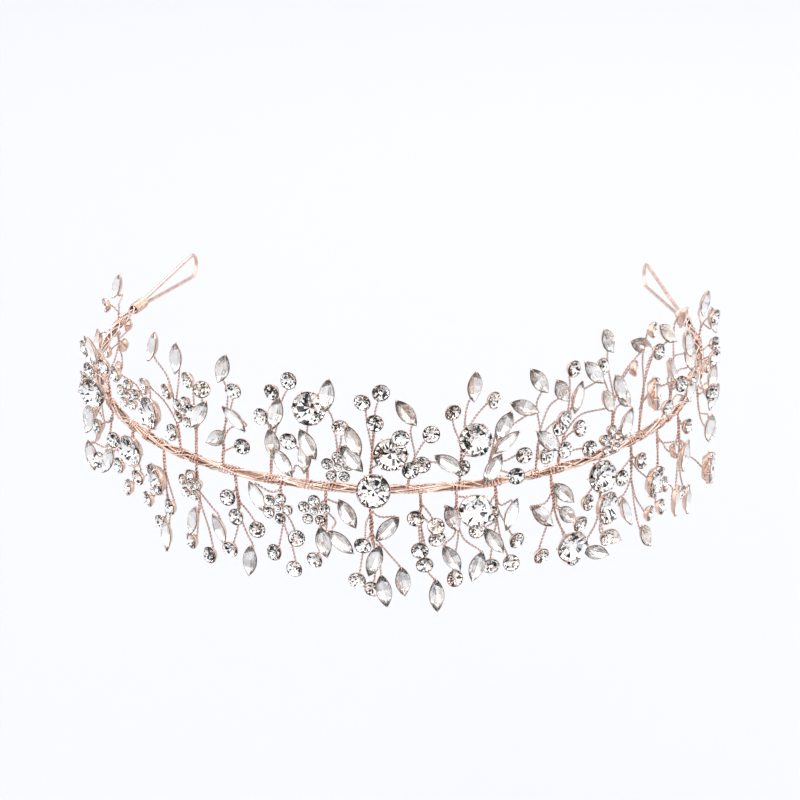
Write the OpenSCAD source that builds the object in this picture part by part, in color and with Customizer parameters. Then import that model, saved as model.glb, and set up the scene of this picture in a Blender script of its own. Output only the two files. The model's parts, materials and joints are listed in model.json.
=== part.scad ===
// Bridal tiara: an open oval band of wrapped wire with sprays of set stones above and below it.
// Millimetres. Origin at the centre of the head opening, in the plane of the band. Front is -Y, up is +Z.

/* [Band] */
// Half width of the oval band, across the temples
band_half_w = 80; // [74:1:86]
// Half depth of the oval that the band follows, front to back
band_half_d = 99; // [92:1:106]
// Thickness of the bundle of wires that makes the band
band_d = 2.2; // [2:0.1:2.4]
// Angle round the oval, from the front, where the left arm ends
left_end = -107; // [-110:1:-105]
// Angle round the oval, from the front, where the right arm ends
right_end = 108; // [105:1:110]
// Angle round the oval of the two places where the arms flex
flex_at = 73; // [72:0.5:74]

/* [Ribbon loops] */
// Length of each ribbon loop, from the end of the band to its round end
loop_l = 42; // [34:1:48]
// Width inside the round end of a ribbon loop
loop_gap = 5.5; // [5:0.1:6.5]
// Thickness of the wire of a ribbon loop
loop_wire = 1; // [0.8:0.1:1.1]
// Length of the coil that binds a ribbon loop to the band
binding_l = 7; // [5:0.5:9]

/* [Sprays] */
// Thickness of the twisted pair of wires under a stone
stem_d = 0.76; // [0.6:0.02:0.8]
// How far the sprays stand in front of and behind the band's middle, in turn
spray_offset = 0.45; // [0.42:0.01:0.5]

/* [Stones] */
// Diameter of a small round stone
round_d = 4; // [3.6:0.1:4.2]
// Width of a navette stone
navette_w = 4; // [3.6:0.1:4.2]
// Length of a navette stone
navette_l = 8; // [7.4:0.1:8.4]
// Diameter of a large round stone
large_d = 8; // [7.4:0.1:8.4]
// Diameter of one petal stone of a flower
petal_d = 2.7; // [2.4:0.1:2.8]
// Thickness of the wall of a setting
wall = 0.28; // [0.22:0.02:0.32]

/* [Hidden] */
ZONES = ["front", "left_arm", "right_arm"];
UPPER = ["upper_spray_01", "upper_spray_02", "upper_spray_03", "upper_spray_04", "upper_spray_05",
    "upper_spray_06", "upper_spray_07", "upper_spray_08", "upper_spray_09", "upper_spray_10",
    "upper_spray_11", "upper_spray_12", "upper_spray_13", "upper_spray_14", "upper_spray_15",
    "upper_spray_16", "upper_spray_17"];
LOWER = ["lower_spray_01", "lower_spray_02", "lower_spray_03", "lower_spray_04", "lower_spray_05",
    "lower_spray_06", "lower_spray_07", "lower_spray_08", "lower_spray_09", "lower_spray_10",
    "lower_spray_11", "lower_spray_12", "lower_spray_13", "lower_spray_14", "lower_spray_15",
    "lower_spray_16"];
ARMS = ["left_arm_spray_1", "left_arm_spray_2", "right_arm_spray_1", "right_arm_spray_2"];

// Kinds of stone
R = 0;
N = 1;
L = 2;
F = 3;

// Per kind: how far the setting reaches behind the girdle, and how far the stone stands in front of it
BEHIND = [1.5, 1.4, 2.3, 1.4];
AHEAD = [0.9, 0.85, 1.7, 0.8];
// Per kind: half the width of the setting
rim_room = 0.4;
HALF = [round_d / 2 + rim_room, navette_w / 2 + rim_room, large_d / 2 + rim_room, 4.4];
// Per kind: where a stem may end on the back of the setting, the middle first
POSTS = [
    [[0, 0], [0, 1.4], [0, -1.4], [1.4, 0], [-1.4, 0]],
    [[0, 0], [0, 2.2], [0, -2.2]],
    [[0, 0], [0, 3], [0, -3], [3, 0], [-3, 0]],
    [[0, 0], [0, 1.8], [0, -1.8], [1.8, 0], [-1.8, 0]]
];
stone_fit = 0.04;
cup_floor = 0.3;
floor_gap = 0.05;
petal_behind = 1.1;
stone_gap = 0.35;
stem_fit = 0.02;
ball_growth = 1.25;
stem_pitch = 0.85;
loop_seam_growth = 1.12;
flower_r = 2.64;
centre_d = 1.8;
band_sides = 10;
band_step = 3;
knuckle_r = band_d / 2 + 0.15;
knuckle_fit = 0.15;
set_back = band_d / 2 + 0.05;
boat_facets = 10;
boat_disc_gap = 2.7;
boat_taper = 0.5;
layer_fit = 0.01;
tie_break = 0.01;
wire_facets = 14;
cup_facets = 24;

// Every spray: [angle of its root on the band, its stones].
// Every stone: [kind, angle, height, lean of its top to the right, turn about the vertical].
UPPER_SPRAYS = [
    [-60, [[R, -65, 7, 0, 35], [L, -60, 4, 0, 25], [R, -57, 12.5, 0, 20], [N, -64, 13, -25, 30]]],
    [-45, [[F, -47, 10.5, 0, 15], [R, -46.5, 17, 0], [R, -43, 14.5, 0], [L, -40, 9.5, 0, -15]]],
    [-35.5, [[N, -40.5, 26, 15], [R, -40.5, 16.5, 0], [R, -37, 16, 0], [N, -34.5, 25.5, 5],
        [R, -36, 6, 0]]],
    [-32.5, [[F, -33, 12.5, 10], [R, -32, 21, 0], [R, -28, 20.5, 0, 30], [R, -29.5, 14.5, 0],
        [N, -26.5, 16, 30]]],
    [-26, [[N, -24.5, 26.5, 20], [R, -22.5, 21.5, 0], [N, -26, 8.5, 60], [N, -22.5, 14.5, -45],
        [R, -21, 8, 0]]],
    [-17, [[R, -15.5, 23, 0], [R, -12.5, 26.5, 0], [R, -17.5, 16.5, 0], [N, -14, 19, 10],
        [N, -15.5, 10, -10]]],
    [-10, [[N, -13, 7, -40], [N, -10, 8, 0], [R, -12, 12.5, 0], [L, -9, 20.5, 0], [N, -8.5, 13, -30]]],
    [-5.5, [[F, -4.5, 6, 0], [R, -4, 16, 0], [N, -2, 9.5, -40], [N, -1.5, 15, -25], [N, -5.5, 25.5, 5]]],
    [0.5, [[R, -0.5, 22.5, 0], [R, 2.5, 25, 0], [R, 1.5, 17.5, 0], [L, 4, 10, 0], [R, 5.5, 15.5, 0],
        [L, 1.5, 3, 0]]],
    [7, [[R, 7, 7.5, 0], [R, 9, 7, 0], [N, 6.5, 20, -37], [R, 10.5, 14.5, 0], [N, 13, 8, -60]]],
    [15.5, [[R, 15.5, 5.5, 0], [R, 14, 19.5, 0], [N, 17.5, 25.5, 0], [L, 17.5, 12.5, 0],
        [R, 20.5, 22, 0, 30]]],
    [20.5, [[N, 21, 17, 25], [N, 23, 10.5, 60], [N, 20, 5.5, 35], [R, 26, 6.5, 0], [R, 23, 4, 0],
        [N, 26, 18.5, -65]]],
    [29, [[R, 29, 6.5, 0], [N, 28.5, 24.5, -35], [N, 31.5, 22, -30], [R, 31, 16, 0],
        [N, 28, 11.5, -45]]],
    [34, [[R, 35, 25.5, 0], [N, 36, 18, 28], [R, 32.5, 11.5, 0], [R, 36.5, 10, 0], [R, 33.5, 5.5, 0],
        [R, 38.5, 4, 0], [N, 37.5, 24.5, -40], [N, 39, 17.5, -35]]],
    [45, [[N, 42, 30, -30], [R, 41, 24, 0], [N, 43, 18.5, -25], [N, 46, 14, -40], [R, 47.5, 21, 0, 30],
        [N, 50, 25.5, -65], [N, 43, 10, 20], [F, 41.5, 5.5, 0], [R, 46.5, 5, 0]]],
    [53, [[R, 49.5, 30.5, 0, 35], [L, 51.5, 13, 0, 30], [R, 55, 16.5, 0, 20], [R, 55, 21.5, 0],
        [N, 54.5, 27, -45]]],
    [62, [[N, 58.5, 15.5, -30, 25], [N, 59, 22.5, -20], [N, 62, 27, -30, 20], [R, 58.5, 5, 0],
        [R, 62, 9.5, 0, -20], [N, 66.5, 6, 0, -20], [N, 65.5, 15, -5, -20]]]
];
LOWER_SPRAYS = [
    [-61, [[N, -67, -8, 20, 35], [R, -62, -6.5, 0, 25], [N, -66, -17, -15, 40],
        [R, -61, -15, 0, 30]]],
    [-50, [[R, -53.5, -5, 0, 20], [L, -46, -3.5, 0, 15], [R, -52, -11, 0, 15], [R, -49.5, -15.5, 0],
        [N, -56, -12, 25, 30], [R, -46, -11, 0]]],
    [-41, [[L, -40, -8, 0], [R, -43, -15, 0], [R, -37, -14, 0], [R, -39.5, -19.5, 0],
        [N, -36, -20, -15]]],
    [-32, [[F, -32, -6, 0], [R, -32, -20.5, 0], [R, -28, -22.5, 0], [N, -30, -13.5, 15],
        [N, -26, -15, -20]]],
    [-24, [[R, -24, -6, 0], [R, -22.5, -10.5, 0], [R, -22.5, -18, 0], [N, -20, -21, 5],
        [R, -18.5, -12.5, 0]]],
    [-15, [[N, -18.5, -4, -35], [F, -14, -4.8, 20], [R, -11.5, -13, 0], [R, -12, -21, 0],
        [R, -15.5, -17.5, 0]]],
    [-7, [[F, -8.5, -5.5, 0], [R, -8.5, -18, 0], [N, -6.5, -12, -12], [N, -3, -5.5, -30],
        [N, -3.5, -10.5, -50]]],
    [0.5, [[R, 0, -10, 0], [N, 3.5, -9, 42], [N, 1.5, -16, 20], [R, -1, -20, 0], [R, 1, -24.5, 0],
        [N, 3, -22.5, -10], [N, 6, -22.5, -8]]],
    [9, [[R, 8, -6.5, 0], [R, 11, -7.5, 0], [R, 11.5, -12, 0], [R, 8.5, -13.5, 0], [R, 9.5, -18.5, 0],
        [N, 11.5, -26.5, 0]]],
    [15, [[N, 14, -7, -26], [N, 13.5, -16, -30], [R, 14.5, -22.5, 0], [R, 17.5, -9.5, 0],
        [L, 16.5, -3, 0], [N, 17, -17.5, 18]]],
    [22, [[R, 20.5, -20.5, 0], [N, 21, -14, -35], [R, 20.5, -7, 0], [N, 24, -8, 28], [R, 25, -15, 0],
        [R, 24, -20.5, 0]]],
    [32, [[N, 33.5, -5.5, -45], [N, 33, -10, -50], [N, 29.5, -10, -40], [R, 37, -15, 0],
        [R, 29.5, -20.5, 0], [L, 32.5, -17, 0], [R, 35.5, -23, 0]]],
    [43, [[L, 41, -4, 0], [L, 42.5, -13, 0], [R, 38.5, -10, 0], [N, 40.5, -24, -70],
        [N, 44, -21.5, -60], [R, 40, -18.5, 0]]],
    [50, [[R, 46, -7, 0], [R, 51, -5, 0], [L, 53.5, -11.5, 0, 15], [N, 47.5, -16.5, -15],
        [N, 50.5, -24, -30], [R, 53, -20, 0, 20]]],
    [59, [[N, 57, -5.5, 12], [R, 60.5, -7.5, 0, 20], [R, 58.5, -15.5, 0], [R, 57.5, -21, 0],
        [N, 62, -22, 10, 20]]],
    [66, [[N, 64.5, -12, -10, 10], [R, 67, -5, 0], [L, 68, -16, 0, 20], [N, 68.5, -26, 0],
        [R, 65, -22, 0]]]
];
ARM_SPRAYS = [
    [-81, [[R, -79, 4.5, 0, 35], [R, -78.5, -5, 0, 30], [N, -84, -9, -20, 45], [N, -82, -17, 20, 40],
        [R, -87, -19, 0, 30], [N, -88.5, -26, 15, 20], [R, -88.5, -4.5, 0, 40]]],
    [-98, [[N, -104, 7, 20, 45], [R, -98.5, 4.5, 0, 40], [N, -93.5, -3.5, -10, 45],
        [R, -101.5, -4.5, 0, 30], [R, -98, -8.5, 0, 35], [R, -94.5, -13.5, 0, 30], [R, -105.5, -5, 0],
        [R, -103.5, -10, 0], [R, -100.5, -15, 0]]],
    [82, [[R, 80, -4, 0, -30], [N, 79, -13, 0, -40], [R, 83, 4, 0, -35], [N, 86, -9, 10, -35],
        [R, 89, 4, 0, -30], [R, 84, -18, 0, -25]]],
    [97, [[N, 104, 6.5, 0, -45], [R, 98, -8, 0, -20], [N, 97, 6, -15, -45], [R, 103.5, -4.5, 0],
        [N, 93, -8, 10, -35], [R, 101.5, -11, 0], [R, 92.5, 9.5, 0, -30], [R, 97, -14, 0, -20]]]
];
SPRAYS = concat(UPPER_SPRAYS, LOWER_SPRAYS, ARM_SPRAYS);
SPRAY_NAMES = concat(UPPER, LOWER, ARMS);
STONES = [for (spray = SPRAYS) each spray[1]];

// A point of the band's oval, moved outwards and up
function out_dir(t) = [band_half_d * sin(t), -band_half_w * cos(t), 0]
    / norm([band_half_d * sin(t), band_half_w * cos(t)]);
function at(t, out, z) = [band_half_w * sin(t), -band_half_d * cos(t), z] + out * out_dir(t);
// Direction of travel round the band, as an angle
function heading(t) = atan2(band_half_d * sin(t), band_half_w * cos(t));
function facing(turn) = [sin(turn), -cos(turn), 0];
function turn_of(stone) = heading(stone[1]) + (len(stone) > 4 ? stone[4] : 0);
function zone_of(t) = t < -flex_at ? "left_arm" : t > flex_at ? "right_arm" : "front";

// Discs that cover a stone's outline, laid out flat along the band: [along, up, radius]
function along(t) = t * PI / 180 * (band_half_w + band_half_w / 20 * (1 - cos(2 * t)));
function discs(s) = s[0] == N
    ? [for (k = [-1, 0, 1])
        [along(s[1]) + k * sin(s[3]) * boat_disc_gap, s[2] + k * cos(s[3]) * boat_disc_gap,
         HALF[N] - boat_taper * abs(k)]]
    : [[along(s[1]), s[2], HALF[s[0]]]];
function covers(a, b) = len([for (p = discs(a), q = discs(b))
    if (norm([p[0] - q[0], p[1] - q[1]]) < p[2] + q[2]) 1]) > 0;

// How far a stone and its setting reach in and out from the middle of the girdle, turned as they are
function swing(s) = len(s) > 4 ? HALF[s[0]] * sin(abs(s[4])) : 0;
function inner(s) = BEHIND[s[0]] + swing(s) + stone_gap / 2;
function outer(s) = AHEAD[s[0]] + swing(s) + stone_gap / 2;

// Depth in front of the band's middle for every stone: the lowest place clear of those already set
function clear_at(out, i, rivals, set) = len([for (j = rivals)
    if (out + outer(STONES[i]) > set[j] - inner(STONES[j])
        && out - inner(STONES[i]) < set[j] + outer(STONES[j])) 1]) == 0;
function lowest(i, set) =
    let (rivals = [for (j = [0:1:i - 1]) if (covers(STONES[i], STONES[j])) j],
         base = set_back + inner(STONES[i]),
         places = concat([base], [for (j = rivals)
             set[j] + outer(STONES[j]) + layer_fit + inner(STONES[i])]))
    min([for (out = places) if (clear_at(out, i, rivals, set)) out]);
function depths(i, set) = i == len(STONES) ? set : depths(i + 1, concat(set, [lowest(i, set)]));
DEPTHS = depths(0, []);
function first_stone(k) = k == 0 ? 0 : first_stone(k - 1) + len(SPRAYS[k - 1][1]);

// Place of the stem's end on the back of a setting, clear of every stone that lies nearer the band
function post_at(s, post) = [along(s[1]) + post[0] * cos(s[3]) + post[1] * sin(s[3]),
                             s[2] + post[1] * cos(s[3]) - post[0] * sin(s[3])];
function post_clear(i, post) = len([for (j = [0:len(STONES) - 1])
    if (DEPTHS[j] < DEPTHS[i]) each [for (disc = discs(STONES[j]))
        if (norm(post_at(STONES[i], post) - [disc[0], disc[1]]) < disc[2] + stem_d / 2) 1]]) == 0;
function post_of(i) = [for (post = POSTS[STONES[i][0]]) if (post_clear(i, post)) post, [0, 0]][0];

// Puts a stone's own frame, long way up Y and face up Z, at its place on the tiara
module set_at(stone, out) {
    translate(at(stone[1], out, stone[2]))
        rotate([90, stone[3], turn_of(stone)])
            children();
}

module rod(a, b, r) {
    v = b - a;
    translate(a)
        rotate([0, acos(v[2] / norm(v)), atan2(v[1], v[0])])
            cylinder(r = r, h = norm(v), $fn = wire_facets);
}

module ball(p, r) {
    translate(p)
        sphere(r = r, $fn = wire_facets);
}

// A stone lofted through rings of its own outline: [height, share of the outline]
module cut_stone(outline, rings) {
    n = len(outline);
    last = len(rings) - 1;
    points = [for (ring = rings, p = outline) [p[0] * ring[1], p[1] * ring[1], ring[0]]];
    sides = [for (k = [0:last - 1], i = [0:n - 1])
        [k * n + i, (k + 1) * n + i, (k + 1) * n + (i + 1) % n, k * n + (i + 1) % n]];
    polyhedron(points, concat([[for (i = [0:n - 1]) i], [for (i = [n - 1:-1:0]) last * n + i]], sides));
}

function round_outline(d, n) = [for (i = [0:n - 1]) d / 2 * [cos(i * 360 / n), sin(i * 360 / n)]];
function boat_outline(w, l) = [for (i = [0:boat_facets - 1])
    let (a = i * 360 / boat_facets) [w / 2 * sin(a) * abs(sin(a)), -l / 2 * cos(a)]];

module round_stone(d, behind, n = 8) {
    cut_stone(round_outline(d, n), [[cup_floor + floor_gap - behind, 0.3], [0, 1], [0.2 * d, 0.55]]);
}

module navette_stone() {
    cut_stone(boat_outline(navette_w, navette_l),
        [[cup_floor + floor_gap - BEHIND[N], 0.4], [0, 1], [0.8, 0.5]]);
}

// A round cup behind a stone, with a floor and an open front
module round_cup(d, behind) {
    difference() {
        translate([0, 0, -behind])
            cylinder(d = d + 2 * (stone_fit + wall), h = behind + 0.1, $fn = cup_facets);
        translate([0, 0, cup_floor - behind])
            cylinder(d = d + 2 * stone_fit, h = behind + 0.3, $fn = cup_facets);
    }
}

// A boat-shaped outline from two arcs, with pointed ends
module boat(w, l) {
    arc_r = (l * l + w * w) / (4 * w);
    intersection() {
        translate([arc_r - w / 2, 0])
            circle(r = arc_r, $fn = 64);
        translate([w / 2 - arc_r, 0])
            circle(r = arc_r, $fn = 64);
    }
}

module navette_setting() {
    fit = 2 * stone_fit;
    difference() {
        translate([0, 0, -BEHIND[N]])
            linear_extrude(BEHIND[N] + 0.1)
                boat(navette_w + fit + 2 * wall, navette_l + 2 * fit + 4 * wall);
        translate([0, 0, cup_floor - BEHIND[N]])
            linear_extrude(BEHIND[N] + 0.3)
                boat(navette_w + fit, navette_l + 2 * fit);
    }
}

module each_petal() {
    for (i = [0:4])
        rotate([0, 0, i * 72])
            translate([0, flower_r, 0])
                children();
}

module flower_stone() {
    each_petal()
        round_stone(petal_d, petal_behind, 6);
    round_stone(centre_d, petal_behind, 6);
}

// Five petal cups that just meet, round a middle cup, on one back plate
module flower_setting() {
    translate([0, 0, -BEHIND[F]])
        cylinder(r = flower_r, h = 0.4, $fn = cup_facets);
    each_petal()
        round_cup(petal_d, petal_behind);
    round_cup(centre_d, petal_behind);
}

module stones_of(kind, zone) {
    for (i = [0:len(STONES) - 1])
        if (STONES[i][0] == kind && zone_of(STONES[i][1]) == zone)
            set_at(STONES[i], DEPTHS[i])
                children();
}

module flower_stones() {
    color("white")
        stones_of(F, "front")
            flower_stone();
}

module flower_settings() {
    color("rosybrown")
        stones_of(F, "front")
            flower_setting();
}

module large_stones() {
    color("white")
        stones_of(L, "front")
            round_stone(large_d, BEHIND[L]);
}

module large_settings() {
    color("rosybrown")
        stones_of(L, "front")
            round_cup(large_d, BEHIND[L]);
}

module round_stones(zone) {
    color("white")
        stones_of(R, zone)
            round_stone(round_d, BEHIND[R]);
}

module round_settings(zone) {
    color("rosybrown")
        stones_of(R, zone)
            round_cup(round_d, BEHIND[R]);
}

module navette_stones(zone) {
    color("white")
        stones_of(N, zone)
            navette_stone();
}

module navette_settings(zone) {
    color("rosybrown")
        stones_of(N, zone)
            navette_setting();
}

// Place of a stem in its spray's fan, counted from the left
function fan_angle(k, stone) = atan2(along(stone[1]) - along(SPRAYS[k][0]), abs(stone[2]));
function rank(k, i) =
    let (mine = fan_angle(k, SPRAYS[k][1][i]) + i * tie_break)
    len([for (j = [0:len(SPRAYS[k][1]) - 1]) if (fan_angle(k, SPRAYS[k][1][j]) + j * tie_break < mine) 1]);
function root_of(k, i) =
    let (turn = stem_pitch / along(1) * (rank(k, i) - (len(SPRAYS[k][1]) - 1) / 2))
    SPRAYS[k][0] + turn;

// One spray: a fan of stems off the band, each with a bend where it turns out to the back of its stone
module spray(k) {
    skin = k % 2 == 0 ? spray_offset : -spray_offset;
    color("rosybrown")
        for (i = [0:len(SPRAYS[k][1]) - 1]) {
            stone = SPRAYS[k][1][i];
            out = DEPTHS[first_stone(k) + i];
            post = post_of(first_stone(k) + i);
            face = facing(turn_of(stone));
            across = [-face[1], face[0], 0];
            shift = post_at([stone[0], 0, 0, stone[3]], post);
            middle = at(stone[1], out, stone[2]) - (BEHIND[stone[0]] + stem_fit) * face;
            square = middle + shift[0] * across + [0, 0, shift[1]];
            straight_out = out_dir(stone[1]);
            neck = square - (square - at(stone[1], skin, 0)) * straight_out * straight_out;
            side = sign(neck[2]);
            level = neck - at(root_of(k, i), skin, side * band_d / 2);
            lift = band_d / 2 + stem_fit + stem_d / 2 * norm([level[0], level[1]]) / norm(level);
            foot = at(root_of(k, i), skin, side * lift);
            tilt = norm(cross(square - neck, face)) / norm(square - neck);
            back = square - stem_d / 2 * tilt * face;
            rod(foot, neck, stem_d / 2);
            ball(neck, stem_d / 2 * ball_growth);
            rod(neck, back, stem_d / 2);
        }
}

// The bundle of wires swept along the oval from one angle to another
module bundle(from, to) {
    rings = ceil((to - from) / band_step);
    n = band_sides;
    points = [for (k = [0:rings], i = [0:n - 1])
        let (t = from + (to - from) * k / rings, a = i * 360 / n)
        at(t, band_d / 2 * cos(a), band_d / 2 * sin(a))];
    sides = [for (k = [0:rings - 1], i = [0:n - 1])
        [k * n + i, k * n + (i + 1) % n, (k + 1) * n + (i + 1) % n, (k + 1) * n + i]];
    polyhedron(points, concat([[for (i = [n - 1:-1:0]) i], [for (i = [0:n - 1]) rings * n + i]], sides));
}

module knuckle(t, r, h) {
    translate(at(t, 0, -h / 2))
        cylinder(r = r, h = h, $fn = 48);
}

module front_band() {
    color("rosybrown") {
        bundle(-flex_at, flex_at);
        for (t = [-flex_at, flex_at])
            knuckle(t, knuckle_r, 2 * knuckle_r);
    }
}

module arm_band(from, to, flex) {
    color("rosybrown")
        difference() {
            bundle(from, to);
            knuckle(flex, knuckle_r + knuckle_fit, 3 * knuckle_r);
        }
}

// Puts +X along the band's free end, away from the band, and +Z up
module at_end(t) {
    translate(at(t, 0, 0))
        rotate([0, 0, heading(t) + (t < 0 ? 180 : 0)])
            children();
}

module ribbon_loop(t) {
    bend_r = (loop_gap + loop_wire) / 2;
    bend_x = loop_l - bend_r - loop_wire / 2;
    start_z = loop_wire / 2 + stem_fit;
    slope = asin((bend_r - start_z) / bend_x);
    color("rosybrown")
        at_end(t) {
            for (s = [-1, 1]) {
                seam = [bend_x - bend_r * sin(slope), 0, s * bend_r * cos(slope)];
                rod([0.1, 0, s * start_z], seam, loop_wire / 2);
                ball(seam, loop_wire / 2 * loop_seam_growth);
            }
            translate([bend_x, 0, 0])
                rotate([90, 0, 0])
                    rotate([0, 0, -90 - slope])
                        rotate_extrude(angle = 180 + 2 * slope, $fn = 64)
                            translate([bend_r, 0])
                                circle(d = loop_wire, $fn = cup_facets);
        }
}

module loop_binding(t) {
    inner_r = band_d / 2 + 0.15;
    color("rosybrown")
        at_end(t)
            translate([-binding_l / 2, 0, 0])
                rotate([0, 90, 0])
                    difference() {
                        cylinder(r = inner_r + 0.45, h = binding_l, $fn = 48);
                        translate([0, 0, -1])
                            cylinder(r = inner_r, h = binding_l + 2, $fn = 48);
                    }
}

front_band();
arm_band(left_end, -flex_at, -flex_at);  // left_arm_band
arm_band(flex_at, right_end, flex_at);  // right_arm_band
ribbon_loop(left_end);  // left_ribbon_loop
ribbon_loop(right_end);  // right_ribbon_loop
loop_binding(left_end);  // left_loop_binding
loop_binding(right_end);  // right_loop_binding
flower_stones();
flower_settings();
large_stones();
large_settings();
for (z = ZONES) {
    round_stones(z);
    round_settings(z);
    navette_stones(z);
    navette_settings(z);
}
for (k = [0:len(SPRAYS) - 1])
    spray(k);
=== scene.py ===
"""Looks of the bridal tiara: twisted wire sprays, foil-backed crystals in claws and a wrapped band."""

import json
import math
import random

import bmesh
import bpy
import numpy as np
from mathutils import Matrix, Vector


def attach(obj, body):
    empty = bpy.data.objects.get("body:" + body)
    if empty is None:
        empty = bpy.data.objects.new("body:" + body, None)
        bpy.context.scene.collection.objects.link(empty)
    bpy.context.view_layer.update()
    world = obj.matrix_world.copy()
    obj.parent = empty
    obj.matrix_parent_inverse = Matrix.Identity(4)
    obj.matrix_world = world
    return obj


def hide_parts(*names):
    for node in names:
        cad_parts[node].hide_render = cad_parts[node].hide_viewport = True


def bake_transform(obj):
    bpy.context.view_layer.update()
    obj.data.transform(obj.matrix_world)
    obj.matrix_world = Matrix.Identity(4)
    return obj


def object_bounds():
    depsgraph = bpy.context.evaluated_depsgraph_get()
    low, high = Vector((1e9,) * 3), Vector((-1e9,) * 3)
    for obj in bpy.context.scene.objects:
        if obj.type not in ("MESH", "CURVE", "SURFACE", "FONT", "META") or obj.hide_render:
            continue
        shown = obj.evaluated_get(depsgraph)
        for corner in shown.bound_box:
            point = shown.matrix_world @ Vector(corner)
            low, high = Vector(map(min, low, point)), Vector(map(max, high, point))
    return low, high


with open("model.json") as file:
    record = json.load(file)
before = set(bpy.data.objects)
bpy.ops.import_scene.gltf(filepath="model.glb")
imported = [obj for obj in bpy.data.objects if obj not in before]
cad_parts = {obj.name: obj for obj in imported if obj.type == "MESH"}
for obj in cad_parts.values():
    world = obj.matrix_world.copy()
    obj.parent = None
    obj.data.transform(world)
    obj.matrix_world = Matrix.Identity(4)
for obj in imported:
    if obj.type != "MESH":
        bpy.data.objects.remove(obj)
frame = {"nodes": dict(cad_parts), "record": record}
cad_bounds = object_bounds()

MM = 0.001
ZONES = ("front", "left_arm", "right_arm")
UP = np.array((0.0, 0.0, 1.0))

# The band's oval, as in the CAD model. Places along it are angles in degrees from the front.
BAND_HALF_W = 80 * MM
BAND_HALF_D = 99 * MM
BAND_R = 1.1 * MM
LEFT_END = -107
RIGHT_END = 108

# How far the back of a setting lies behind its stone's girdle
BEHIND = {"round": 1.5 * MM, "navette": 1.4 * MM, "large": 2.3 * MM, "flower": 1.4 * MM}
CUP_FLOOR = 0.3 * MM

# Round stones: how many main facets they have, and how deep their back may be, as a share of their width
MAINS = {"round": 8, "large": 12, "flower": 8}
DEEPEST_BACK = 0.34

# The least room between the tip of a stone and the floor of its cup
TIP_ROOM = 0.08 * MM

# The middle stone of a flower is narrower than this, and its petals are wider
FLOWER_MIDDLE = 2.2 * MM

# The most that a stone tilts from its CAD facing, each way
NOD = math.radians(13)

# The edge of a stone, its girdle, is painted this bright against its foil, as a thin dark outline of painted
# shade, and its lower facets take one of these, as painted reflections that are mostly bright with some dark
GIRDLE_SHADE = 0.3
NAVETTE_SHADES = (0.3, 0.7, 0.8, 0.8, 0.9, 1.0, 1.0, 1.0)
ROUND_SHADES = (0.0, 0.1, 0.6, 1.0, 1.0, 1.0, 1.0, 1.0)

# Settings: their wall and sides, how many claws hold a round stone, and how thick each claw is
WALL = 0.13 * MM
CUP_SIDES = 24
CLAWS = {"round": (4, 0.11 * MM), "large": (6, 0.2 * MM), "flower": (4, 0.11 * MM)}
NAVETTE_CLAW_R = 0.14 * MM

# The thin wire of the sprays, and how a pair of it is twisted
WIRE_R = 0.12 * MM
WIRE_SIDES = 6
TWIST_R = 0.18 * MM
TWIST_PITCH = 1.8 * MM
STEM_STEP = 0.3 * MM

# A stem starts this deep in the band, and the foot of its CAD solid is this near to the band's surface
ROOT_DEPTH = 0.9 * MM
ROOT_ROOM = 0.4 * MM

# It climbs the trunk for this share of its height, and swings round the trunk's middle at this distance
TRUNK_SHARE = 0.5
TRUNK_SPREAD = 0.08 * MM
TRUNK_SWING = 2.2

# It bows to the side by up to this much, below a neck that lies between the band and the stone's back
BOW = 0.6 * MM
NECK_SHARE = 0.55

# It comes in this far behind the setting before it meets it
APPROACH = 0.25 * MM

# The coil that ties a spray to the band
TIE_TURNS = 3
TIE_PITCH = 0.9 * MM
TIE_LAY = BAND_R + 0.05 * MM

rng = random.Random(7)


# Camera, stage and lights

def add_camera():
    """A long lens in front of the tiara, a little to the right and above, that faces the origin."""
    azimuth = math.radians(4.683)
    elevation = math.radians(19.576)
    distance = 0.71665
    back = Vector((math.sin(azimuth) * math.cos(elevation),
                   -math.cos(azimuth) * math.cos(elevation),
                   math.sin(elevation)))
    data = bpy.data.cameras.new("camera")
    data.lens = 119.84
    data.sensor_width = 36
    data.shift_x = -0.0015
    data.shift_y = -0.0656
    camera = bpy.data.objects.new("camera", data)
    bpy.context.collection.objects.link(camera)
    camera.location = back * distance
    camera.rotation_euler = back.to_track_quat("Z", "Y").to_euler()
    bpy.context.scene.camera = camera
    bpy.context.scene.view_settings.view_transform = "Standard"


def add_area(name, place, size, power):
    """A square soft box that faces the origin."""
    data = bpy.data.lights.new(name, "AREA")
    data.size = size
    data.energy = power
    light = bpy.data.objects.new(name, data)
    bpy.context.collection.objects.link(light)
    light.location = place
    light.rotation_euler = Vector(place).to_track_quat("Z", "Y").to_euler()


def add_world():
    """A white studio with dark gaps between its soft boxes, so that cut facets show contrast."""
    world = bpy.data.worlds.new("studio")
    world.use_nodes = True
    bpy.context.scene.world = world
    tree = world.node_tree
    background = tree.nodes["Background"]
    place = tree.nodes.new("ShaderNodeTexCoord")
    cells = add_node(tree, "ShaderNodeTexVoronoi", Scale=4.6)
    tree.links.new(place.outputs["Generated"], cells.inputs["Vector"])
    color = ramp_from(tree, cells.outputs["Distance"], [(0.2, (0.02, 0.02, 0.025)), (0.25, (1.0, 1.0, 1.0))])
    tree.links.new(color, background.inputs["Color"])
    background.inputs["Strength"].default_value = 1.725


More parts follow.
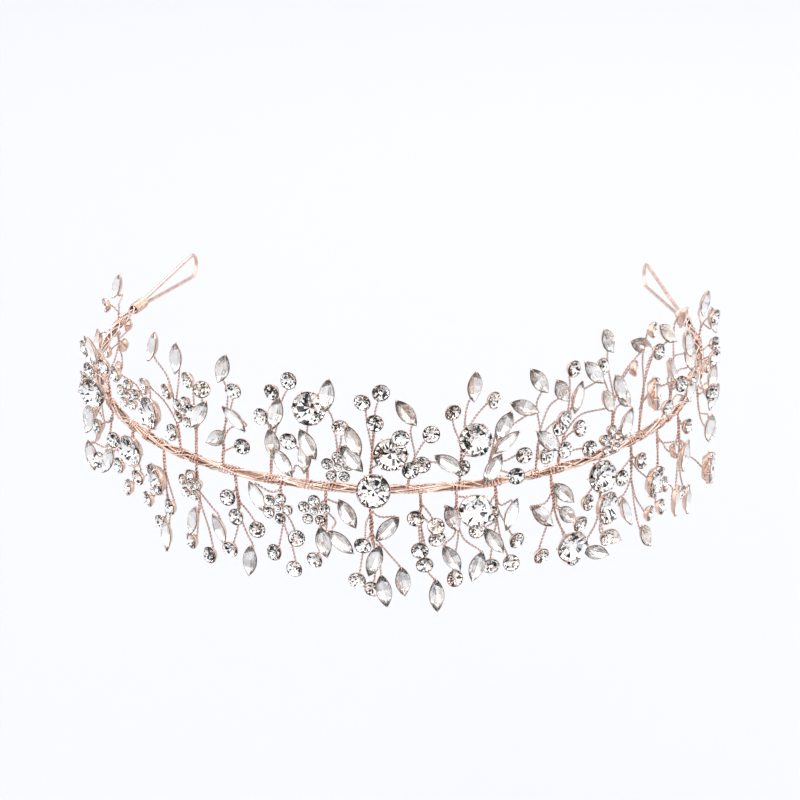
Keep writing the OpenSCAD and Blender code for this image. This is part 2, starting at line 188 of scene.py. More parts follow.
def add_stage():
    """A sheet of paper that lies flat under the tiara and curves up into a backdrop far behind it."""
    floor_z = cad_bounds[0][2] - 0.16
    half_width = 6.0
    bend_y = 5.0
    bend_r = 0.8
    top_z = 4.0
    steps = 12
    profile = [(-half_width, floor_z)]
    for k in range(steps + 1):
        a = math.pi / 2 * k / steps
        profile.append((bend_y + bend_r * math.sin(a), floor_z + bend_r * (1 - math.cos(a))))
    profile.append((bend_y + bend_r, top_z))
    verts = [(x, y, z) for y, z in profile for x in (-half_width, half_width)]
    faces = [(k, k + 1, k + 3, k + 2) for k in range(0, len(verts) - 2, 2)]
    mesh = bpy.data.meshes.new("floor")
    mesh.from_pydata(verts, [], faces)
    mesh.shade_smooth()
    floor = bpy.data.objects.new("floor", mesh)
    bpy.context.collection.objects.link(floor)
    mesh.materials.append(paper_material())


# Materials

def new_material(name):
    """A node material, with its tree and its shader."""
    material = bpy.data.materials.new(name)
    material.use_nodes = True
    tree = material.node_tree
    return material, tree, tree.nodes["Principled BSDF"]


def add_node(tree, kind, **values):
    """A node of one kind, with the values of its sockets by name."""
    node = tree.nodes.new(kind)
    for key, value in values.items():
        node.inputs[key].default_value = value
    return node


def object_coords(tree):
    return tree.nodes.new("ShaderNodeTexCoord").outputs["Object"]


def ramp_from(tree, value, stops):
    """Colours by value, with stops as pairs of a position and a colour."""
    ramp = tree.nodes.new("ShaderNodeValToRGB")
    elements = ramp.color_ramp.elements
    while len(elements) < len(stops):
        elements.new(0.5)
    for element, (position, color) in zip(elements, stops):
        element.position = position
        element.color = (*color, 1)
    tree.links.new(value, ramp.inputs["Fac"])
    return ramp.outputs["Color"]


def noise_ramp(tree, scale, detail, stops):
    """Colours in soft patches, with stops as in ramp_from."""
    noise = add_node(tree, "ShaderNodeTexNoise", Scale=scale, Detail=detail)
    tree.links.new(object_coords(tree), noise.inputs["Vector"])
    return ramp_from(tree, noise.outputs["Fac"], stops)


def noise_roughness(tree, shader, scale, low, high):
    """Roughness in patches. low and high are pairs of a noise value and a roughness."""
    rough = noise_ramp(tree, scale, 2.0, [(at, (value,) * 3) for at, value in (low, high)])
    tree.links.new(rough, shader.inputs["Roughness"])


def add_bump(tree, shader, scale, strength, distance):
    """Fine unevenness in a surface."""
    noise = add_node(tree, "ShaderNodeTexNoise", Scale=scale, Detail=3.0)
    tree.links.new(object_coords(tree), noise.inputs["Vector"])
    bump = add_node(tree, "ShaderNodeBump", Strength=strength, Distance=distance)
    tree.links.new(noise.outputs["Fac"], bump.inputs["Height"])
    tree.links.new(bump.outputs["Normal"], shader.inputs["Normal"])


def paper_material():
    """White paper that grows a little paler towards the backdrop."""
    fade_length = 1.5
    material, tree, shader = new_material("paper")
    parts = tree.nodes.new("ShaderNodeSeparateXYZ")
    tree.links.new(object_coords(tree), parts.inputs["Vector"])
    away = tree.nodes.new("ShaderNodeMath")
    away.operation = "DIVIDE"
    away.inputs[1].default_value = fade_length
    tree.links.new(parts.outputs["Y"], away.inputs[0])
    stops = [(0.05, (0.517, 0.522, 0.553)), (1.0, (0.556, 0.563, 0.592))]
    tree.links.new(ramp_from(tree, away.outputs["Value"], stops), shader.inputs["Base Color"])
    shader.inputs["Roughness"].default_value = 0.9
    return material


def shade_mix(tree, dark, color):
    """From dark, a painted shade, to the given colour, as the mesh's shade attribute says."""
    shade = tree.nodes.new("ShaderNodeAttribute")
    shade.attribute_name = "shade"
    mix = tree.nodes.new("ShaderNodeMix")
    mix.data_type = "RGBA"
    mix.inputs["A"].default_value = (*dark, 1)
    tree.links.new(shade.outputs["Fac"], mix.inputs["Factor"])
    tree.links.new(color, mix.inputs["B"])
    return mix.outputs["Result"]


def island_tint(tree, tints):
    """A colour for each stone, picked by chance from a ramp."""
    island = tree.nodes.new("ShaderNodeNewGeometry").outputs["Random Per Island"]
    return ramp_from(tree, island, tints)


def rose_gold(name, light, dark, painted_shade, roughness):
    """Polished rose-gold plate, a little darker and rougher in patches, with painted shade where its shade
    says: on the inner sides of twisted wires and inside and round the rims of settings.
    """
    material, tree, shader = new_material(name)
    color = noise_ramp(tree, 420.0, 3.0, [(0.35, dark), (0.62, light)])
    tree.links.new(shade_mix(tree, painted_shade, color), shader.inputs["Base Color"])
    noise_roughness(tree, shader, 900.0, (0.3, roughness * 0.7), (0.7, roughness * 1.4))
    shader.inputs["Metallic"].default_value = 1.0
    add_bump(tree, shader, 1800.0, 0.25, 0.04 * MM)
    return material


def crystal(name, tints):
    """Clear cut glass. Each stone takes its own faint tint, and the glass holds a trace of haze."""
    material, tree, shader = new_material(name)
    tree.links.new(island_tint(tree, tints), shader.inputs["Base Color"])
    noise_roughness(tree, shader, 700.0, (0.35, 0.0), (0.8, 0.03))
    shader.inputs["Transmission Weight"].default_value = 1.0
    shader.inputs["IOR"].default_value = 1.3
    return material


def foil(name, tints, dark, smooth, rough):
    """The mirror backing on the lower facets of a stone. Each facet is as bright as its painted shade says,
    so that dark facets are painted reflections.
    """
    material, tree, shader = new_material(name)
    tree.links.new(shade_mix(tree, dark, island_tint(tree, tints)), shader.inputs["Base Color"])
    noise_roughness(tree, shader, 1500.0, (0.3, smooth), (0.7, rough))
    shader.inputs["Metallic"].default_value = 1.0
    return material


# Mesh building

class Build:
    """Collects vertices and faces, with a shade and a material number for each face."""

    def __init__(self):
        self.verts = []
        self.faces = []
        self.shades = []
        self.kinds = []

    def add(self, verts, faces, shades, kinds=None):
        start = sum(len(v) for v in self.verts)
        self.verts.append(np.asarray(verts, float))
        self.faces += [tuple(start + i for i in face) for face in faces]
        self.shades += shades
        self.kinds += kinds or [0] * len(faces)

    def finish(self, name, materials, smooth):
        mesh = bpy.data.meshes.new(name)
        mesh.from_pydata(np.concatenate(self.verts).tolist(), [], self.faces)
        mesh.polygons.foreach_set("material_index", self.kinds)
        mesh.attributes.new("shade", "FLOAT", "FACE").data.foreach_set("value", self.shades)
        mesh.update()
        if smooth:
            mesh.shade_smooth()
        for material in materials:
            mesh.materials.append(material)
        piece = bpy.data.objects.new(name, mesh)
        bpy.context.collection.objects.link(piece)
        return piece


def outward_faces(piece):
    """Turns every face of a piece to the outside."""
    bm = bmesh.new()
    bm.from_mesh(piece.data)
    bmesh.ops.recalc_face_normals(bm, faces=bm.faces)
    bm.to_mesh(piece.data)
    bm.free()


def unit(v):
    v = np.asarray(v, float)
    return v / np.linalg.norm(v, axis=-1, keepdims=True)


def tube_faces(rings, sides):
    """The faces between rings of vertices, then the two faces that close the ends."""
    faces = []
    for k in range(rings - 1):
        for i in range(sides):
            j = (i + 1) % sides
            faces.append((k * sides + i, k * sides + j, (k + 1) * sides + j, (k + 1) * sides + i))
    faces.append(tuple(range(sides - 1, -1, -1)))
    faces.append(tuple((rings - 1) * sides + i for i in range(sides)))
    return faces


def sweep(build, centres, side_dirs, radius, sides=WIRE_SIDES, lit=1.0, hidden=1.0):
    """A round wire along centres. side_dirs point across it, and radius may change along it.

    Its painted shade is lit on the side that side_dirs point to, and hidden on the other, where it is
    painted darker."""
    lit_spread = 1.3
    tangents = unit(np.gradient(centres, axis=0))
    u = unit(side_dirs - (side_dirs * tangents).sum(1, keepdims=True) * tangents)
    v = np.cross(tangents, u)
    angles = np.arange(sides) * 2 * math.pi / sides
    radius = np.broadcast_to(radius, len(centres))[:, None, None]
    rings = centres[:, None] + radius * (np.cos(angles)[None, :, None] * u[:, None]
                                         + np.sin(angles)[None, :, None] * v[:, None])
    outward = [abs(2 * (i + 0.5) / sides - 1) for i in range(sides)]
    around = [hidden + (lit - hidden) * min(1.0, lit_spread * share) for share in outward]
    shades = around * (len(centres) - 1) + [lit, lit]
    build.add(rings.reshape(-1, 3), tube_faces(len(centres), sides), shades)


def lengths_along(points):
    return np.concatenate(([0], np.cumsum(np.linalg.norm(np.diff(points, axis=0), axis=1))))


def resample(points, step):
    """The same path in equal steps of about the given length."""
    s = lengths_along(points)
    count = max(6, int(s[-1] / step))
    at = np.linspace(0, s[-1], count)
    return np.stack([np.interp(at, s, points[:, i]) for i in range(3)], 1)


def smooth_path(knots, per_span):
    """A Catmull-Rom curve through the knots."""
    knots = np.asarray(knots)
    ends = np.concatenate(([2 * knots[0] - knots[1]], knots, [2 * knots[-1] - knots[-2]]))
    points = []
    for k in range(len(knots) - 1):
        a, b, c, d = ends[k:k + 4]
        t = np.linspace(0, 1, per_span, endpoint=False)[:, None]
        points.append(0.5 * (2 * b + (c - a) * t + (2 * a - 5 * b + 4 * c - d) * t ** 2
                             + (3 * b - a - 3 * c + d) * t ** 3))
    return np.concatenate(points + [knots[-1:]])


def frames_along(points):
    """Two directions across the path at each point, turning as little as they can."""
    tangents = unit(np.gradient(points, axis=0))
    first = np.cross(tangents[0], UP)
    if np.linalg.norm(first) < 0.1:
        first = np.cross(tangents[0], (1.0, 0.0, 0.0))
    n = [unit(first)]
    for tangent in tangents[1:]:
        n.append(unit(n[-1] - np.dot(n[-1], tangent) * tangent))
    n = np.array(n)
    return n, np.cross(tangents, n)


def strand(build, points, n, b, lay_r, phase, pitch, wire_r, sides=WIRE_SIDES, lit=1.0, hidden=0.0):
    """One wire wound round a path at lay_r, painted dark on the side that faces the path, as painted shade
    between it and the wires next to it.
    """
    angle = (phase + 2 * math.pi * lengths_along(points) / pitch)[:, None]
    out = np.cos(angle) * n + np.sin(angle) * b
    sweep(build, points + np.reshape(lay_r, (-1, 1)) * out, out, wire_r, sides, lit, hidden)


# The band's oval

def oval(t, z=0.0):
    """Points at angles t round the band, moved up by z."""
    a = np.radians(np.asarray(t, float))
    return np.stack([BAND_HALF_W * np.sin(a), -BAND_HALF_D * np.cos(a), 0 * a], -1) + z * UP


def out_dir(t):
    """The way out of the band's oval at angles t, square to it and level."""
    a = np.radians(np.asarray(t, float))
    return unit(np.stack([BAND_HALF_D * np.sin(a), -BAND_HALF_W * np.cos(a), 0 * a], -1))


def angle_of(point):
    return math.degrees(math.atan2(point[0] / BAND_HALF_W, -point[1] / BAND_HALF_D))


def length_per_degree(t):
    return np.linalg.norm(oval(t + 1.0) - oval(t))


# Reading the CAD stones

def islands(node):
    """The separate solids of a CAD node, as arrays of vertices."""
    bm = bmesh.new()
    bm.from_mesh(frame["nodes"][node].data)
    bmesh.ops.remove_doubles(bm, verts=bm.verts, dist=0.002 * MM)
    seen = set()
    groups = []
    for seed in bm.verts:
        if seed in seen:
            continue
        seen.add(seed)
        stack = [seed]
        group = []
        while stack:
            vert = stack.pop()
            group.append(tuple(vert.co))
            for edge in vert.link_edges:
                other = edge.other_vert(vert)
                if other not in seen:
                    seen.add(other)
                    stack.append(other)
        groups.append(np.array(group))
    bm.free()
    return groups


class Stone:
    """Place, facing, long axis and size of one stone, read from its CAD solid."""

    def __init__(self, verts, kind):
        middle = verts.mean(0)
        _, spread, axes = np.linalg.svd(verts - middle)
        # Two spreads of a round stone are alike, and its normal is the third axis, even where it is tall
        tall = kind != "navette" and spread[0] - spread[1] > spread[1] - spread[2]
        normal = axes[0] if tall else axes[2]
        order = np.argsort((verts - middle) @ normal)
        third = len(order) // 3
        rings = [verts[order[:third]], verts[order[third:2 * third]], verts[order[2 * third:]]]
        widths = [np.linalg.norm(points - points.mean(0), axis=1).mean() for points in rings]
        # The back of a stone is narrower than its front
        if widths[0] > widths[2]:
            normal = -normal
        girdle = rings[1]
        self.kind = kind
        self.origin = girdle.mean(0)
        self.normal = normal
        up = axes[0] if kind == "navette" else unit(np.cross(normal, np.cross(UP, normal)))
        if up[2] < 0:
            up = -up
        self.up = up
        self.side = np.cross(up, normal)
        if kind != "flower":
            self.nod(rng.uniform(-NOD, NOD), rng.uniform(-NOD, NOD))
        self.width = 2 * np.abs((girdle - self.origin) @ self.side).max()
        self.length = 2 * np.abs((girdle - self.origin) @ self.up).max()

    def nod(self, sideways, upwards):
        """Tilts the stone a little, as hand-bent stems do."""
        self.normal = unit(self.normal + math.tan(sideways) * self.side + math.tan(upwards) * self.up)
        self.up = unit(self.up - np.dot(self.up, self.normal) * self.normal)
        self.side = np.cross(self.up, self.normal)

    def place(self, points):
        """From the stone's own frame (x across, y along, z to the front) to the shared frame."""
        points = np.asarray(points, float)
        return self.origin + points @ np.stack([self.side, self.up, self.normal])

    def back(self):
        return self.origin - BEHIND[self.kind] * self.normal


def read_stones():
    """Every stone in the CAD model, by zone."""
    found = {zone: [] for zone in ZONES}
    for zone in ZONES:
        for kind in ("round", "navette"):
            found[zone] += [Stone(verts, kind) for verts in islands(f"{zone}_{kind}_stones")]
    for kind in ("large", "flower"):
        found["front"] += [Stone(verts, kind) for verts in islands(f"{kind}_stones")]
    return found


# Cut stones

def ring(count, radius, z, start=0.0):
    """Points spread evenly round a circle, the first one at the angle start from the y axis."""
    a = start + np.arange(count) * 2 * math.pi / count
    return np.stack([radius * np.sin(a), radius * np.cos(a), np.full(count, z)], 1)


def boat_ring(count, width, length, z, scale=1.0):
    """Points round a boat shape, the first one at its tip. The power draws the sides in to the tips."""
    taper = 0.8
    a = np.arange(count) * 2 * math.pi / count
    x = scale * width / 2 * np.sin(a) * np.abs(np.sin(a)) ** taper
    y = scale * length / 2 * np.cos(a)
    return np.stack([x, y, np.full(count, z)], 1)


def first_verts(rings):
    """The number of each ring's first vertex, where the rings are joined in order."""
    return [0] + np.cumsum([len(points) for points in rings[:-1]]).tolist()


def brilliant(d, depth, n):
    """A round brilliant with n mains: table, stars, kites and girdle facets over a pointed pavilion."""
    half = math.pi / n
    # The table, the stars, both edges of the girdle, two rows of the pavilion and its tip
    rings = [ring(n, 0.29 * d, 0.11 * d),
             ring(n, 0.39 * d, 0.075 * d, half),
             ring(2 * n, 0.495 * d, 0.018 * d),
             ring(2 * n, 0.495 * d, -0.012 * d),
             ring(2 * n, 0.34 * d, -0.28 * depth, half / 2),
             ring(n, 0.17 * d, -0.64 * depth, half),
             np.array([[0, 0, -depth]])]
    _, star, upper, lower, row, deep, tip = first_verts(rings)
    crown = [tuple(range(n - 1, -1, -1))]
    girdle = []
    pavilion = []
    for k in range(n):
        j = (k + 1) % n
        at = 2 * k
        mid = at + 1
        on = (at + 2) % (2 * n)
        crown += [(k, j, star + k), (k, star + k, upper + at, star + (k - 1) % n),
                  (star + k, upper + mid, upper + at), (star + k, upper + on, upper + mid)]
        girdle += [(upper + at, upper + mid, lower + mid, lower + at),
                   (upper + mid, upper + on, lower + on, lower + mid)]
        pavilion += [(lower + at, lower + mid, row + at), (lower + mid, row + mid, row + at),
                     (lower + mid, lower + on, row + mid), (lower + on, row + on, row + mid),
                     (row + at, row + mid, deep + k), (row + mid, row + on, deep + k),
                     (row + on, deep + j, deep + k), (deep + k, deep + j, tip)]
    return np.concatenate(rings), crown, girdle, pavilion


def marquise(width, length, depth):
    """A boat-shaped stone: a long table, one row of crown facets and a keeled back."""
    n = 8
    keel_y = 0.27 * length
    # The table, both edges of the girdle and three points of the keel
    rings = [boat_ring(n, width, length, 0.17 * width, 0.56),
             boat_ring(2 * n, 0.985 * width, 0.985 * length, 0.02 * width),
             boat_ring(2 * n, 0.985 * width, 0.985 * length, -0.02 * width),
             np.array([[0, keel_y, -0.8 * depth], [0, 0, -depth], [0, -keel_y, -0.8 * depth]])]
    _, upper, lower, keel = first_verts(rings)
    # The lower facets of each girdle point run to one of the three keel points
    middle_half = 0.14 * length
    nearest = [keel + (0 if y > middle_half else 2 if y < -middle_half else 1) for y in rings[2][:, 1]]
    crown = [tuple(range(n - 1, -1, -1))]
    girdle = []
    pavilion = []
    for k in range(n):
        j = (k + 1) % n
        at = 2 * k
        mid = at + 1
        on = (at + 2) % (2 * n)
        crown += [(k, j, upper + mid), (k, upper + mid, upper + at),
                  (k, upper + at, upper + (at - 1) % (2 * n))]
        girdle += [(upper + at, upper + mid, lower + mid, lower + at),
                   (upper + mid, upper + on, lower + on, lower + mid)]
    for i in range(2 * n):
        j = (i + 1) % (2 * n)
        pavilion.append((nearest[i], lower + i, lower + j))
        if nearest[i] != nearest[j]:
            pavilion.append((nearest[i], lower + j, nearest[j]))
    return np.concatenate(rings), crown, girdle, pavilion


def facet_shades(kind, count):
    """How bright each lower facet is painted: mostly bright, with black wedges of painted reflection in the
    round stones.
    """
    shades = NAVETTE_SHADES if kind == "navette" else ROUND_SHADES
    return [rng.choice(shades) for _ in range(count)]


def add_stones(body, name, stones, crystal_material, foil_material):
    """All the stones of one kind on one body, cut and backed with foil."""
    glass = Build()
    for stone in stones:
        room = BEHIND[stone.kind] - CUP_FLOOR - TIP_ROOM
        if stone.kind == "navette":
            verts, crown, girdle, pavilion = marquise(stone.width, stone.length, room)
        else:
            depth = min(room, DEEPEST_BACK * stone.width)
            verts, crown, girdle, pavilion = brilliant(stone.width, depth, MAINS[stone.kind])
        # The crown stays lit; the girdle is painted as a dark outline of painted shade, and the lower facets
        # as painted reflections
        shades = [1.0] * len(crown) + [GIRDLE_SHADE] * len(girdle) + facet_shades(stone.kind, len(pavilion))
        kinds = [0] * len(crown) + [1] * (len(girdle) + len(pavilion))
        glass.add(stone.place(verts), crown + girdle + pavilion, shades, kinds)
    piece = glass.finish(f"{name}_crystals", [crystal_material, foil_material], False)
    outward_faces(piece)
    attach(piece, body)
    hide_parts(f"{name}_stones")


# Settings

def cup_ring(stone, scale, z):
    """One ring of a stone's cup, at a share of its outline. A boat cup has its wall only near the rim."""
    if stone.kind != "navette":
        return ring(CUP_SIDES, scale * (stone.width / 2 + WALL), z)
    grow = 2 * WALL if scale > 0.9 else 0
    return boat_ring(CUP_SIDES, stone.width + grow, stone.length + 1.6 * grow, z, scale)


def cup(build, stone):
    """The shell of a setting, through rows of [share of the outline, height, painted shade above it]. The
    painted shade darkens the rim a little, as a thin outline, and the deep inside of the cup and its inner
    floor fully.
    """
    behind = BEHIND[stone.kind]
    floor = 0.2 * CUP_FLOOR - behind
    rim = 0.02 * stone.width
    profile = [(0.55, floor, 1.0),
               (0.68, floor + 0.12 * MM, 1.0),
               (0.90, -0.42 * behind, 1.0),
               (0.985, -0.12 * behind, 0.8),
               (0.985, -rim, 0.6),
               (0.95, -rim, 0.8),
               (0.94, -0.14 * behind, 0.6),
               (0.84, -0.45 * behind, 0.0),
               (0.62, floor + 0.2 * MM, 0.0)]
    rings = [cup_ring(stone, scale, z) for scale, z, _ in profile]
    shades = [shade for _, _, shade in profile[:-1] for _ in range(CUP_SIDES)]
    # The outer floor stays lit and the inner floor is painted in full shade
    build.add(stone.place(np.concatenate(rings)), tube_faces(len(rings), CUP_SIDES), shades + [1.0, 0.0])


def claw(build, stone, foot, wire_r, rise, reach):
    """A prong up the wall of a setting and over the edge of its stone.

    foot is its place in the girdle's plane. It runs from rise below that plane to just over rise above it,
    where it leans in by reach."""
    foot = np.asarray(foot, float)
    inward = -foot / np.linalg.norm(foot)
    knots = [(*foot, -rise), (*foot, 0.1 * rise), (*(foot + inward * reach * 0.35), 0.75 * rise),
             (*(foot + inward * reach), 1.05 * rise)]
    points = smooth_path(stone.place(knots), 4)
    across = unit(np.cross(stone.normal, stone.place([(*foot, 0)])[0] - stone.origin))
    radius = wire_r * np.linspace(1.0, 0.75, len(points))
    sweep(build, points, np.broadcast_to(across, points.shape), radius)


def setting(build, stone):
    """A cup with its claws. The middle stone of a flower has none."""
    cup(build, stone)
    if stone.kind == "navette":
        tip = stone.length / 2 + 0.05 * MM
        for y in (tip, -tip):
            claw(build, stone, (0, y), NAVETTE_CLAW_R, 0.4 * MM, 0.3 * MM)
    elif stone.width >= FLOWER_MIDDLE:
        count, wire_r = CLAWS[stone.kind]
        r = stone.width / 2 + 0.06 * MM
        for k in range(count):
            a = (k + 0.5) * 2 * math.pi / count
            foot = (r * math.sin(a), r * math.cos(a))
            claw(build, stone, foot, wire_r, 0.12 * stone.width, 0.09 * stone.width)


def add_settings(body, name, stones, material):
    """All the settings of one kind on one body."""
    metal = Build()
    for stone in stones:
        setting(metal, stone)
    piece = metal.finish(f"{name}_claws", [material], True)
    outward_faces(piece)
    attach(piece, body)
    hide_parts(f"{name}_settings")


# Sprays

def near_band(verts, sign):
    """Where a spray leaves the band, above it (sign 1) or below it (sign -1), or None where it doesn't."""
    heights = sign * verts[:, 2]
    feet = verts[(heights > 0) & (heights < BAND_R + ROOT_ROOM)]
    return feet.mean(0) if len(feet) else None


def stem_path(root, sign, axis, stone, reach, number, stems):
    """From the band up the spray's trunk, off to the side and out to the back of the stone."""
    back = stone.back()
    t = angle_of(back)
    neck = oval(t, back[2])
    neck = neck + NECK_SHARE * (back - neck)
    outward = out_dir(angle_of(root))
    side = unit(np.cross(axis, outward))
    turn = 2 * math.pi * number / stems
    spread = TRUNK_SPREAD * math.sqrt(stems - 1)
    leave = TRUNK_SHARE * np.dot(neck - root, axis) * reach
    knots = [root - ROOT_DEPTH * sign * UP]
    for k in range(1, 4):
        share = k / 3
        swing = turn + TRUNK_SWING * share
        knots.append(root + axis * leave * share
                     + spread * (math.cos(swing) * side + math.sin(swing) * outward))
    bow = unit(np.cross(neck - knots[-1], out_dir(t))) * rng.uniform(-BOW, BOW)
    if stone.kind == "navette":
        # It holds the tip that is nearer the band
        toward = -1 if stone.origin[2] * stone.up[2] > 0 else 1
        hold = back + toward * 0.4 * stone.length * stone.up
    else:
        hold = back + 0.3 * stone.width * unit(knots[-1] - back)
    knots.append(0.5 * knots[-1] + 0.5 * neck + bow)
    knots.append(hold - APPROACH * stone.normal)
    knots.append(back)
    return smooth_path(knots, 8)


def add_spray(name, body, verts, stones, material):
    """The twisted stems of one spray, and a coil that ties them to the band wherever they leave it.

    verts are the vertices of its CAD node."""
    metal = Build()
    for sign in (1, -1):
        mine = [s for s in stones if sign * s.origin[2] > 0]
        root = near_band(verts, sign) if mine else None
        if root is None:
            continue
        # The trunk leans about half towards the further stones and half straight away from the band
        necks = np.array([s.back() for s in mine])
        far = necks[np.argsort(np.linalg.norm(necks - root, axis=1))[len(necks) // 2:]]
        axis = unit(0.55 * unit(far.mean(0) - root) + 0.45 * sign * UP)
        for k, stone in enumerate(mine):
            reach = rng.uniform(0.75, 1.05)
            path = resample(stem_path(root, sign, axis, stone, reach, k, len(mine)), STEM_STEP)
            n, b = frames_along(path)
            # Each wire of the pair is painted dark on the side that faces the other, as painted shade
            # between them
            for phase in (0, math.pi):
                strand(metal, path, n, b, TWIST_R, phase, TWIST_PITCH, WIRE_R)
        add_tie(metal, angle_of(root))
    piece = metal.finish(f"{name}_wires", [material], True)
    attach(piece, body)
    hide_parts(name)


def add_tie(build, t):
    """A few turns of thin wire round the band at one place."""
    points_per_turn = 14
    width = TIE_TURNS * TIE_PITCH
    ts = t + np.linspace(-0.5, 0.5, TIE_TURNS * points_per_turn) * width / length_per_degree(t)
    points = oval(ts)
    # Its side that faces the band is painted dark, as painted shade
    strand(build, points, out_dir(ts), np.broadcast_to(UP, points.shape), TIE_LAY,
           rng.uniform(0, 2 * math.pi), TIE_PITCH, WIRE_R)


def spray_of(stone, sprays):
    """The spray whose stem ends behind the stone."""
    back = stone.back()
    return min(sprays, key=lambda name: np.linalg.norm(sprays[name] - back, axis=1).min())


def add_sprays(body, stones, material):
    """The sprays of one body. In a flower, only the middle stone has a stem."""
    names = [n for n in frame["record"]["behaviour"]["bodies"][body] if "spray" in n]
    verts = {n: np.concatenate(islands(n)) for n in names}
    held = {n: [] for n in names}
    for stone in stones:
        if stone.kind != "flower" or stone.width < FLOWER_MIDDLE:
            held[spray_of(stone, verts)].append(stone)
    for name in names:
        add_spray(name, body, verts[name], held[name], material)


# Band, loops and bindings

def band_end(side):
    return LEFT_END if side < 0 else RIGHT_END


def add_band(side, hand, nodes, material):
    """The band from the front to one end, built in place and not attached to any body.

    Long wires sway in and out round two core wires that are painted almost fully dark, as painted shade in
    the gaps between the wires, and thinner ones cross them the other way. Every outer wire is painted dark
    on its inner side, as painted shade."""
    metal = Build()
    end = band_end(side)
    step = 0.6 * MM
    core_r = 0.42 * MM
    long_r = 0.23 * MM
    crossing_r = 0.15 * MM
    sway = 0.14 * MM
    ts = np.linspace(0, end, int(abs(end) * length_per_degree(0.0) / step))
    points = oval(ts)
    n = out_dir(ts)
    b = np.broadcast_to(UP, points.shape)
    drift = lengths_along(points)
    # The core wires are painted in shade, so that the gaps between the outer wires look shaded
    for k in range(2):
        strand(metal, points, n, b, 0.3 * MM, math.pi * k, 70 * MM, core_r, 8, lit=0.15)
    for k in range(6):
        lay_r = 0.80 * MM + sway * np.sin(drift / (4.5 * MM) + 1.7 * k)
        pitch = (34 + 9 * (k % 3)) * MM
        strand(metal, points, n, b, lay_r, 2 * math.pi * k / 6, pitch, long_r, 8)
    for k in range(4):
        lay_r = 0.98 * MM + sway * np.sin(drift / (2.6 * MM) + 2.3 * k)
        pitch = -(13 + 5 * k) * MM
        strand(metal, points, n, b, lay_r, 1.6 * k + 0.4, pitch, crossing_r)
    piece = metal.finish(f"{hand}_band_wires", [material], True)
    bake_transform(piece)
    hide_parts(*nodes)


def loop_frame(side):
    """The end of the band on one side, and the way it points."""
    t = band_end(side)
    return oval(t), unit(oval(t + side * 0.5) - oval(t))


def add_loop(side, hand, material):
    """A long hairpin of thicker wire, narrow where it is bound to the band and round at its end."""
    length = 42 * MM
    wire_r = 0.5 * MM
    bend_r = 3.25 * MM
    bend_x = length - bend_r - wire_r
    start, ahead = loop_frame(side)
    # One leg, as places along the loop and half its width there, and the bend at its end
    leg = [(-3.2 * MM, 0.53 * MM), (0.0, 0.53 * MM), (8 * MM, 0.95 * MM), (20 * MM, 1.9 * MM),
           (31 * MM, 2.75 * MM)]
    arc = [(bend_x + bend_r * math.sin(a), bend_r * math.cos(a)) for a in np.radians((0, 30, 60, 90))]
    top = leg + arc
    outline = top + [(x, -z) for x, z in reversed(top[:-1])]
    knots = [start + ahead * x + UP * z for x, z in outline]
    path = resample(smooth_path(knots, 10), 0.7 * MM)
    metal = Build()
    across = unit(np.cross(ahead, UP))
    sweep(metal, path, np.broadcast_to(across, path.shape), wire_r, 12)
    piece = metal.finish(f"{hand}_arm_loop_wire", [material], True)
    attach(piece, f"{hand}_arm")
    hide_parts(f"{hand}_ribbon_loop")


def add_binding(side, hand, material):
    """A close coil of wire that ties the loop to the end of the band, drawn in a little at its ends."""
    start, ahead = loop_frame(side)
    coil_l = 7 * MM
    turns = 15
    points_per_turn = 16
    metal = Build()
    along = np.linspace(-1, 1, turns * points_per_turn)
    points = start + 0.5 * coil_l * along[:, None] * ahead
    across = unit(np.cross(ahead, UP))
    lay_r = (1.38 - 0.2 * along ** 6) * MM
    # The side of each turn that faces the band is painted half dark, as painted shade
    strand(metal, points, np.broadcast_to(across, points.shape), np.broadcast_to(UP, points.shape),
           lay_r, 0.0, coil_l / turns, 0.22 * MM, hidden=0.5)
    piece = metal.finish(f"{hand}_arm_binding_coil", [material], True)
    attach(piece, f"{hand}_arm")
    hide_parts(f"{hand}_loop_binding")


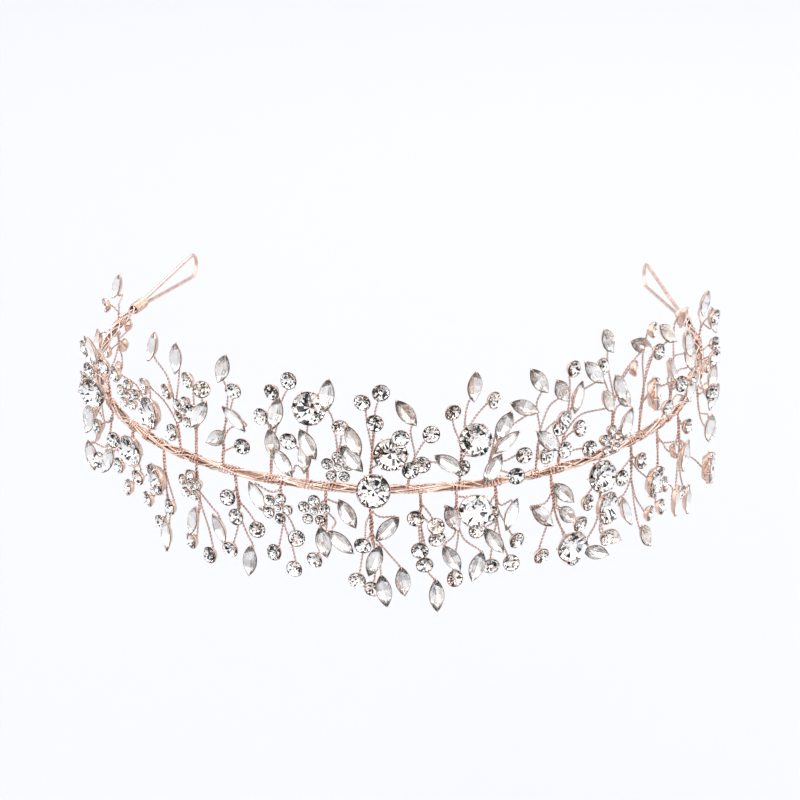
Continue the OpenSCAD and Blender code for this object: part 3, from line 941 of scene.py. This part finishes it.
def main():
    add_camera()
    add_world()
    add_stage()
    add_area("key", (-0.7, -0.9, 1.1), 0.4, 4.6)
    add_area("fill", (1.0, -0.5, 0.5), 0.25, 1.7)
    add_area("rim", (0.2, 1.1, 0.9), 0.3, 2.3)

    # The third colour of each rose gold is its painted shade, for the inner sides of wires and the hollows
    # of settings
    wire = rose_gold("rose_gold_wire", (0.88, 0.62, 0.52), (0.64, 0.43, 0.34), (0.16, 0.09, 0.07), 0.22)
    wrap = rose_gold("rose_gold_wrap", (0.95, 0.77, 0.68), (0.82, 0.60, 0.50), (0.34, 0.20, 0.15), 0.25)
    plate = rose_gold("rose_gold_plate", (0.80, 0.58, 0.48), (0.56, 0.38, 0.30), (0.20, 0.13, 0.10), 0.16)
    glass = crystal("clear_crystal", [(0.0, (1.0, 1.0, 1.0)), (0.75, (0.98, 0.98, 0.98)),
                                      (0.9, (1.0, 0.97, 0.94)), (1.0, (0.96, 0.96, 0.97))])
    # The colour after the tints of each foil is its painted dark, for painted reflections in the facets and
    # the painted shade of the girdle
    silver = foil("silver_foil", [(0.0, (0.96, 0.94, 0.92)), (0.8, (0.98, 0.97, 0.95)),
                                  (0.92, (0.97, 0.90, 0.85)), (1.0, (0.95, 0.93, 0.92))],
                  (0.012, 0.012, 0.016), 0.02, 0.07)
    pearl = foil("pale_foil", [(0.0, (0.93, 0.91, 0.89)), (0.7, (0.95, 0.93, 0.91)),
                               (0.85, (0.94, 0.88, 0.83)), (1.0, (0.89, 0.87, 0.85))],
                 (0.52, 0.50, 0.48), 0.12, 0.25)

    stones = read_stones()
    for zone in ZONES:
        for kind, backing in (("round", silver), ("navette", pearl)):
            mine = [s for s in stones[zone] if s.kind == kind]
            slot = "small_crystal" if kind == "round" else "navette_crystal"
            add_stones(zone, f"{zone}_{kind}", mine, glass, backing)
            add_settings(zone, f"{zone}_{kind}", mine, plate)
    for kind, slot in (("large", "large_crystal"), ("flower", "small_crystal")):
        mine = [s for s in stones["front"] if s.kind == kind]
        add_stones("front", kind, mine, glass, silver)
        add_settings("front", kind, mine, plate)

    for body in ZONES:
        add_sprays(body, stones[body], wire)

    add_band(-1, "left", ["left_arm_band", "front_band"], wrap)
    add_band(1, "right", ["right_arm_band"], wrap)
    for side, hand in ((-1, "left"), (1, "right")):
        add_loop(side, hand, wire)
        add_binding(side, hand, wire)


main()
